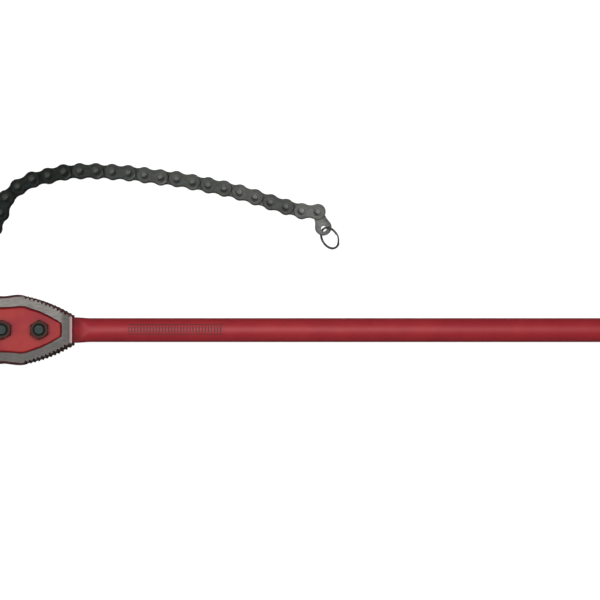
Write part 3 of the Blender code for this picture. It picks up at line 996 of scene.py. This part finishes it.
def jaw_finish():
    mat = Shade("jaw_paint_and_ground_steel")
    ground, toothed, bevel = mat.zones
    x, y, _ = mat.split(mat.place)
    # the painted web
    colour, roughness = red_layers(mat)
    # painted shade in corners, along the recess's edge and beside the nuts
    colour = mat.crevice_shade(colour, RED_DARK, 0.8, 7.0, 0.45, 0.97)
    warm = mat.patches(0.45, 0.68, 0.055, 3.0, 0.55)
    colour = mat.cover(colour, RED_WARM, warm, 0.5)
    wall = mat.ramp(bevel, -1.0, 0.0, 1.0, 0.0)
    colour = mat.cover(colour, RED_SHADED, wall, 0.92)
    # the ground rim, with painted shade towards its lower side, and oilier at its ends
    brushed = mat.noise(0.5, 4.0, 0.7, stretch=(0.25, 3.0, 1.0))
    steel = mat.mix(mat.patches(0.3, 0.7, 0.07, 3.0, 0.6), *GROUNDS)
    steel = mat.mix(mat.ramp(brushed, 0.35, 0.75), steel, GROUND_BRUSHED)
    ends = mat.ramp(mat.maths("ABSOLUTE", x), 56.0, 60.5)
    shaded_side = mat.ramp(y, -16.0, 2.0, 1.0, 0.0)
    darkening = mat.maths("MAXIMUM", shaded_side, ends)
    steel = mat.cover(steel, GROUND_SHADE_AND_OIL, darkening, 0.72)
    specks = mat.patches(0.62, 0.72, 1.1, 5.0, 0.7)
    steel = mat.cover(steel, GROUND_RUSTY, specks, 0.6)
    # the end bevels: brighter ground steel under a painted highlight that grows towards the end
    steel = mat.mix(mat.ramp(bevel, 0.0, 1.0), steel, GROUND_HIGHLIGHT)
    # the teeth
    teeth = mat.mix(mat.patches(0.35, 0.7, 0.5, 4.0, 0.6), *MAROONS)
    # painted shade on the teeth towards the lower side
    teeth = mat.cover(teeth, MAROON_SHADED, shaded_side, 0.85)
    tips = mat.times(mat.worn_edge(0.35, 0.80, 0.95), mat.patches(0.45, 0.6, 1.0, 3.0))
    teeth = mat.cover(teeth, STEEL, tips, 0.35)
    colour = mat.mix(toothed, colour, teeth)
    chips = mat.times(mat.worn_edge(0.5, 0.85, 0.97), mat.patches(0.52, 0.6, 0.5, 5.0, 0.7))
    colour = mat.cover(colour, STEEL, chips, 0.6)
    colour = mat.mix(ground, colour, steel)
    roughness = mat.blend(ground, roughness, mat.ramp(brushed, 0.3, 0.7, 0.64, 0.54))
    height = mat.blend(ground, mat.noise(0.7, 5.0, 0.65), mat.times(brushed, 0.35))
    normal = mat.bump(height, 0.4, 0.15)
    return mat.finish(colour, roughness, mat.times(ground, 0.4), normal,
                      Specular_IOR_Level=0.18)


def bolt_finish():
    mat = Shade("bolt_black_oxide")
    end, thread, _ = mat.zones
    patch = mat.patches(0.35, 0.65, 0.35, 5.0, 0.65)
    colour = mat.mix(patch, *OXIDES)
    worn = mat.times(mat.worn_edge(0.35, 0.85, 0.975), mat.patches(0.3, 0.6, 1.2, 3.0))
    colour = mat.cover(colour, OXIDE_WORN, worn, 0.5)
    # painted shade in corners and beside other pieces
    colour = mat.crevice_shade(colour, OXIDE_SHADED, 0.9, 2.5, 0.3, 0.9)
    colour = mat.cover(colour, THREAD, thread, 0.8)
    # painted shade round the bolt's end, in and round the nut's countersink
    scuffs = mat.patches(0.3, 0.7, 0.9, 4.0, 0.7)
    near = mat.ramp(mat.length(*mat.split(mat.read("spot"))[:2]), 6.2, 8.0, 1.0, 0.0)
    darkening = mat.times(near, mat.ramp(scuffs, 0.0, 1.0, 0.9, 0.6))
    colour = mat.mix(darkening, colour, OXIDE_SHADED)
    colour = mat.mix(end, colour, mat.mix(scuffs, *BOLT_FACES))
    normal = mat.bump(mat.noise(1.5, 4.0, 0.6), 0.35, 0.05)
    return mat.finish(colour, mat.blend(patch, 0.5, 0.62), 0.3, normal,
                      Specular_IOR_Level=0.08)


def between(a, b, share):
    """A colour part of the way from a to b."""
    return tuple(p + (q - p) * share for p, q in zip(a, b))


def chain_finish(name, tone):
    """Blackened steel whose blacking has worn off more and more as the tone rises from 0."""
    mat = Shade(name)
    worn = min(1.0, tone)
    base = between(*BLACKING, tone)
    scuffed = between(*BLACKING_SCUFFED, tone)
    rubbed_and_highlight = between(*BLACKING_RUBBED_AND_HIGHLIGHT, tone)
    patch = mat.patches(0.35, 0.7, 0.30, 5.0, 0.65)
    colour = mat.mix(mat.times(patch, 0.7), base, scuffed)
    # patches of brown and of blue-green, which fade where the blacking has rubbed off
    for scale, tint in ((0.13, BROWN_TINT), (0.17, BLUE_GREEN_TINT)):
        where = mat.patches(0.5, 0.64, scale, 3.0, 0.5)
        tint = between(tint, WORN_TINT, 0.2 + 0.65 * worn)
        tinted = tuple(c * t * 1.25 for c, t in zip(between(base, scuffed, 0.4), tint))
        colour = mat.cover(colour, tinted, where, 0.6)
    streak = mat.patches(0.52, 0.68, 0.9, 4.0, 0.7, stretch=(0.3, 2.2, 1.0))
    colour = mat.cover(colour, scuffed, streak, 0.25 + 0.3 * worn)
    worn_ring, beside, facing, highlight_arc = around_pins(mat)
    head = mat.maths("MAXIMUM", mat.zones[0], worn_ring)
    # a painted shadow beside each rivet
    colour = mat.cover(colour, between(BLACK, base, 0.35), beside, 0.85)
    colour = mat.cover(colour, rubbed_and_highlight, head, 0.85)
    # painted shade on the side of each head that faces its shadow
    colour = mat.cover(colour, between(BLACK, base, 0.7), head, facing, 0.75)
    # edges with worn blacking, and a painted highlight on a plate's edge beyond each rivet
    edge = mat.times(mat.worn_edge(0.45, 0.86, 0.975), mat.patches(0.3, 0.6, 0.8, 3.0))
    edge = mat.maths("MAXIMUM", mat.times(edge, 0.5), highlight_arc)
    colour = mat.mix(edge, colour, rubbed_and_highlight)
    # painted shade in corners and between the plates
    colour = mat.crevice_shade(colour, CHAIN_CREVICE_SHADE, 0.85, 1.6, 0.3, 0.95)
    normal = mat.bump(mat.noise(1.1, 5.0, 0.65), 0.4, 0.08)
    return mat.finish(colour, mat.blend(patch, 0.5, 0.62), 0.3, normal,
                      Specular_IOR_Level=0.04 + 0.05 * worn)


def around_pins(mat):
    """Masks of what lies around each pin: the worn metal round its head, a painted shadow beside
    it, the side of the head that faces that shadow, in painted shade, and a painted highlight on
    the plate's edge beyond it."""
    _, lean_x, lean_y = mat.zones
    x, y, _ = mat.split(mat.read("spot"))
    second = mat.maths("GREATER_THAN", x, PITCH / 2)
    x = mat.maths("SUBTRACT", x, mat.times(second, PITCH))

    def from_spot(offset):
        off_x = mat.maths("SUBTRACT", x, mat.times(lean_x, offset))
        off_y = mat.maths("SUBTRACT", y, mat.times(lean_y, offset))
        return mat.length(off_x, off_y)

    worn_ring = mat.ramp(from_spot(-0.4), 3.2, 3.8, 1.0, 0.0)
    beside = mat.ramp(from_spot(SHADOW_OFFSET), 3.1, 4.0, 1.0, 0.0)
    toward = mat.maths("ADD", mat.times(x, lean_x), mat.times(y, lean_y))
    facing = mat.ramp(toward, 0.6, 2.6)
    reach = mat.length(x, y)
    share = mat.maths("DIVIDE", toward, mat.maths("MAXIMUM", reach, 0.1))
    # a painted highlight on the far edge of the plate's second lobe
    arc = mat.times(mat.ramp(reach, 6.1, 6.7), mat.ramp(share, 0.72, 0.92),
                    mat.ramp(lean_x, 0.1, 0.5), second)
    return worn_ring, beside, facing, arc


def link_zone(lean):
    """Masks of a link: the rivets' heads, then the direction in which its painted shadows fall."""
    towards = math.cos(math.radians(lean)), math.sin(math.radians(lean))

    def zone(p):
        return (1.0 if abs(p.z) > OUTER_PLATE[1] + 0.5 else 0.0, *towards)

    return zone


def shadow_heading(x):
    """The direction in which the painted shadows beside the rivets fall, in degrees, for a link
    that starts at x.
    """
    return -48.0 - 95.0 * clamp((x - 100.0) / 210.0)


def tab_finish():
    mat = Shade("tab_rolled_steel")
    scratch = mat.noise(0.8, 5.0, 0.75, stretch=(0.35, 2.4, 1.0))
    colour = mat.mix(mat.patches(0.3, 0.7, 0.25, 4.0, 0.6), *TAB_GREYS)
    colour = mat.mix(mat.ramp(scratch, 0.50, 0.66), colour, TAB_SCRATCH)
    # painted shade in corners and beside other pieces
    colour = mat.crevice_shade(colour, (0.020, 0.020, 0.019), 0.85, 2.0, 0.3, 0.9)
    normal = mat.bump(scratch, 0.4, 0.06)
    return mat.finish(colour, mat.ramp(scratch, 0.3, 0.7, 0.48, 0.6), 0.4, normal,
                      Specular_IOR_Level=0.15)


def wire_finish():
    mat = Shade("ring_wire")
    tarnish = mat.patches(0.35, 0.65, 0.5, 4.0, 0.65)
    colour = mat.mix(tarnish, *WIRES)
    normal = mat.bump(mat.noise(2.5, 3.0, 0.6), 0.25, 0.03)
    return mat.finish(colour, mat.blend(tarnish, 0.35, 0.5), 0.8, normal)


def grey_finish():
    mat = Shade("turned_grey_steel")
    turned = mat.noise(0.6, 4.0, 0.6, stretch=(0.3, 0.3, 5.0))
    colour = mat.mix(mat.ramp(turned, 0.35, 0.65), *TURNED_GREYS)
    # painted shade in corners and beside other pieces
    colour = mat.crevice_shade(colour, (0.02, 0.02, 0.018), 0.8, 3.0)
    return mat.finish(colour, 0.45, 0.7, mat.bump(turned, 0.3, 0.05))


# The object


def build_head():
    body = "head_and_handle"
    jaw = soften(mesh_of(jaw_shape()), 30)
    painted = jaw_finish()
    piece(body, "jaw_front", jaw, painted, at(0, 0, FRONT_INNER), jaw_zone)
    turned = at(0, 0, REAR_INNER) @ Matrix.Rotation(math.pi, 4, "X")
    piece(body, "jaw_rear", jaw, painted, turned, jaw_zone)
    bar = soften(mesh_of(handle_shape()), 30)
    piece(body, "handle", bar, handle_paint(), at(0, 0, MID), handle_zone)
    bolt, nut, oxide = bolt_mesh(), nut_mesh(), bolt_finish()
    sides = (("chain_side", -BOLT_SPACING), ("centre", 0.0), ("handle_side", BOLT_SPACING))
    for copy, (name, x) in enumerate(sides):
        piece(body, f"bolt_{name}", bolt, oxide, at(x, 0, 0), bolt_zone, copy)
        piece(body, f"nut_{name}", nut, oxide, at(x, 0, NUT_SEAT), None, copy + 3)
    piece(body, "spacer_tube", spacer_mesh(), grey_finish(),
          at(-BOLT_SPACING, 0, MID))


def build_chain():
    tones = [chain_finish(f"chain_steel_{i}", i / 5) for i in range(6)]
    tones.append(chain_finish("chain_steel_light", 1.2))
    piece("shackle", "shackle", shackle_mesh(), tones[0],
          at(-BOLT_SPACING, 0, MID, SHACKLE_HEADING))
    outer, inner = outer_link_mesh(), inner_link_mesh()
    places = chain_places()
    for i, (heading, tone) in enumerate(zip(LINK_HEADINGS, LINK_TONES)):
        kind, mesh = ("inner", inner) if i % 2 else ("outer", outer)
        name = f"link_{i + 1:02d}"
        piece(name, f"{name}_{kind}", mesh, tones[tone],
              at(*places[i], MID, heading), link_zone(shadow_heading(places[i][0]) - heading), i)
    piece("pull_tab", "pull_tab", tab_mesh(), tab_finish(),
          at(*places[-2], MID, TAB_HEADING))
    tilt = Matrix.Rotation(math.radians(RING_TILT), 4, "X")
    piece("split_ring", "split_ring", ring_mesh(),
          wire_finish(), at(*places[-1], MID, RING_HEADING) @ tilt)


# The studio, in metres

LAMP_AIM = (0.25, 0.03, 0.0)
KEY_LAMP = (0.2, 0.16, 2.0)
SIDE_LAMPS = ((0.25, -1.9), (0.25, 1.9), (-1.7, 0.0), (2.3, 0.0))
SIDE_LAMP_HEIGHT = 0.42
FLOOR_REACH = 6
CAMERA_TARGET = Vector((0.2906, 0.02955, 0.0235))
CAMERA_TILT = math.radians(1.4)
CAMERA_DISTANCE = 3.1765
FOCAL_LENGTH = 194.1


def area_light(name, power, size, where):
    """A lamp that the camera doesn't see."""
    data = bpy.data.lights.new(name, "AREA")
    data.shape = "RECTANGLE"
    data.size, data.size_y = size
    data.energy = power
    lamp = add(name, data)
    lamp.location = where
    lamp.rotation_euler = (Vector(LAMP_AIM) - Vector(where)).to_track_quat("-Z", "Y").to_euler()
    lamp.visible_camera = False


def build_studio():
    scene = bpy.context.scene
    scene.view_settings.view_transform = "Standard"
    world = bpy.data.worlds.new("studio")
    world.use_nodes = True
    background = world.node_tree.nodes["Background"]
    background.inputs["Color"].default_value = (1.0, 1.0, 1.0, 1.0)
    background.inputs["Strength"].default_value = 0.2
    scene.world = world
    area_light("key", 60.0, (1.5, 0.45), KEY_LAMP)
    for i, (x, y) in enumerate(SIDE_LAMPS):
        area_light(f"side_{i}", 4.0, (1.2, 0.5), (x, y, SIDE_LAMP_HEIGHT))

    mesh = bpy.data.meshes.new("floor")
    r = FLOOR_REACH
    mesh.from_pydata([(-r, -r, 0), (r, -r, 0), (r, r, 0), (-r, r, 0)], [], [(0, 1, 2, 3)])
    floor = add("floor", mesh)
    paper = Shade("studio_paper").finish(
        (0.08, 0.08, 0.08), 1.0, Specular_IOR_Level=0.0,
        Emission_Color=(1.0, 1.0, 1.0, 1.0), Emission_Strength=0.93,
    )
    mesh.materials.append(paper)
    # the paper's own light keeps it white without lighting the tool from below
    glow = bpy.data.collections.new("lit_by_the_paper")
    glow.objects.link(floor)
    floor.light_linking.receiver_collection = glow

    lens = bpy.data.cameras.new("camera")
    lens.sensor_width = 36.0
    lens.lens = FOCAL_LENGTH
    lens.clip_end = 50.0
    camera = add("camera", lens)
    # almost straight down: the head's lower teeth show a little more than its upper ones
    back = Vector((0.0, -math.sin(CAMERA_TILT), math.cos(CAMERA_TILT)))
    camera.location = CAMERA_TARGET + back * CAMERA_DISTANCE
    camera.rotation_euler = (CAMERA_TILT, 0.0, 0.0)
    scene.camera = camera


build_head()
build_chain()
build_studio()
